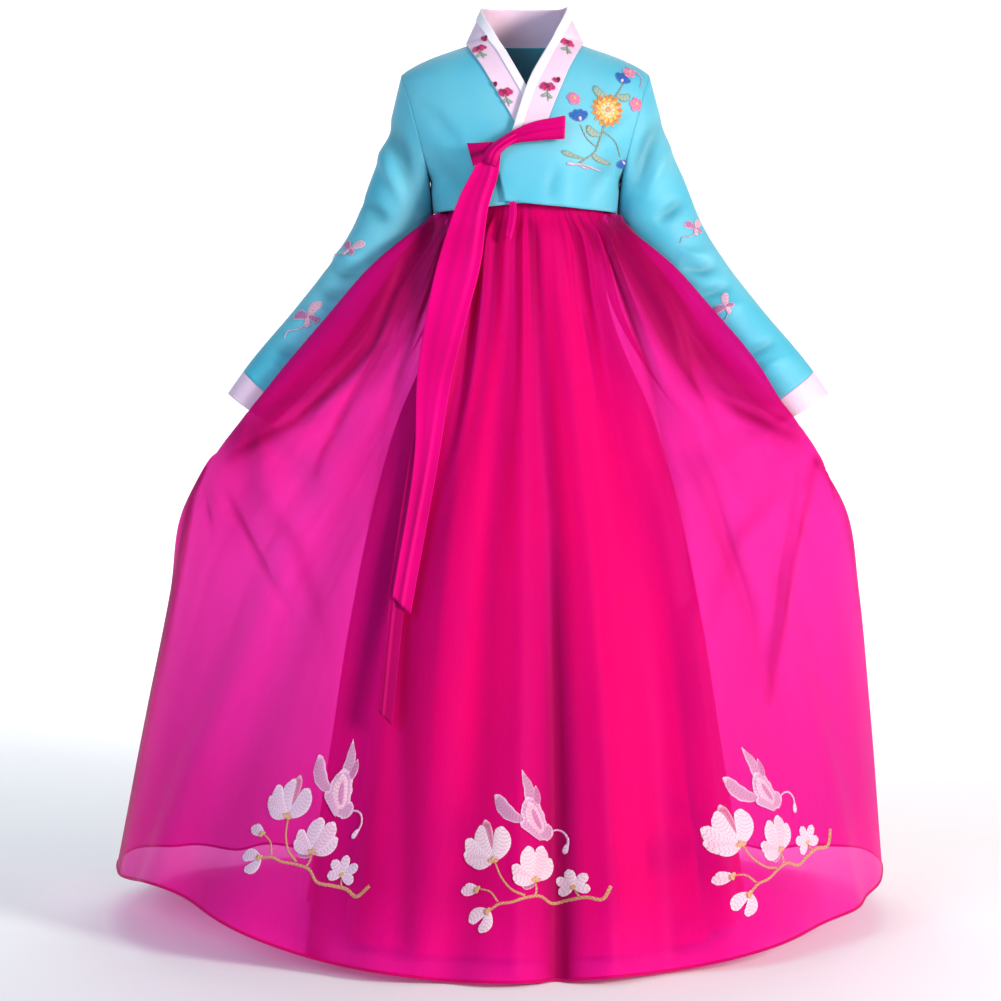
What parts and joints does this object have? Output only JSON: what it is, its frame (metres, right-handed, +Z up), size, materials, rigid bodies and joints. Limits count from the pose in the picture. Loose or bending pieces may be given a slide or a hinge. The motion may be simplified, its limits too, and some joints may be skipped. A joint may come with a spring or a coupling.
{
  "type": "korean hanbok",
  "caption": "Short wrapped jacket with curved sleeves, banded collar and tie ribbons over a full gathered skirt held out at both sides.",
  "frame": {"origin": "between the shoulders at the base of the neck, where the wearer's shoulders carry the jacket; the floor is 1.35 m below", "axes": "+Z up along the body, -Y towards the front of the dress, +X to the right of someone who faces it"},
  "size_m": [1.2127, 0.9121, 1.3992],
  "materials": {
    "aqua_satin": "light blue satin with a soft sheen",
    "lilac_satin": "pale lavender satin",
    "white_strip": "stiff white cotton strip",
    "pink_organza": "sheer hot pink organza",
    "pink_taffeta": "opaque deep pink taffeta",
    "pink_ribbon": "smooth hot pink silk",
    "waistband_cotton": "plain matt cotton"
  },
  "bodies": {
    "root": {"jeogori_back": "aqua_satin", "jeogori_front_outer": "aqua_satin", "jeogori_front_inner": "aqua_satin", "sleeve_left": "aqua_satin", "sleeve_right": "aqua_satin", "cuff_left": "lilac_satin", "cuff_right": "lilac_satin", "collar": "lilac_satin", "collar_strip": "white_strip", "goreum_knot": "pink_ribbon", "goreum_loop": "pink_ribbon", "goreum_short_end": "pink_ribbon", "goreum_long_tail": "pink_ribbon", "goreum_under_tail": "pink_ribbon", "chima_waistband": "waistband_cotton", "chima_outer_front": "pink_organza", "chima_outer_side_front_right": "pink_organza", "chima_outer_side_back_right": "pink_organza", "chima_outer_back": "pink_organza", "chima_outer_side_back_left": "pink_organza", "chima_outer_side_front_left": "pink_organza", "chima_inner_front": "pink_taffeta", "chima_inner_right": "pink_taffeta", "chima_inner_back": "pink_taffeta", "chima_inner_left": "pink_taffeta"}
  },
  "joints": []
}
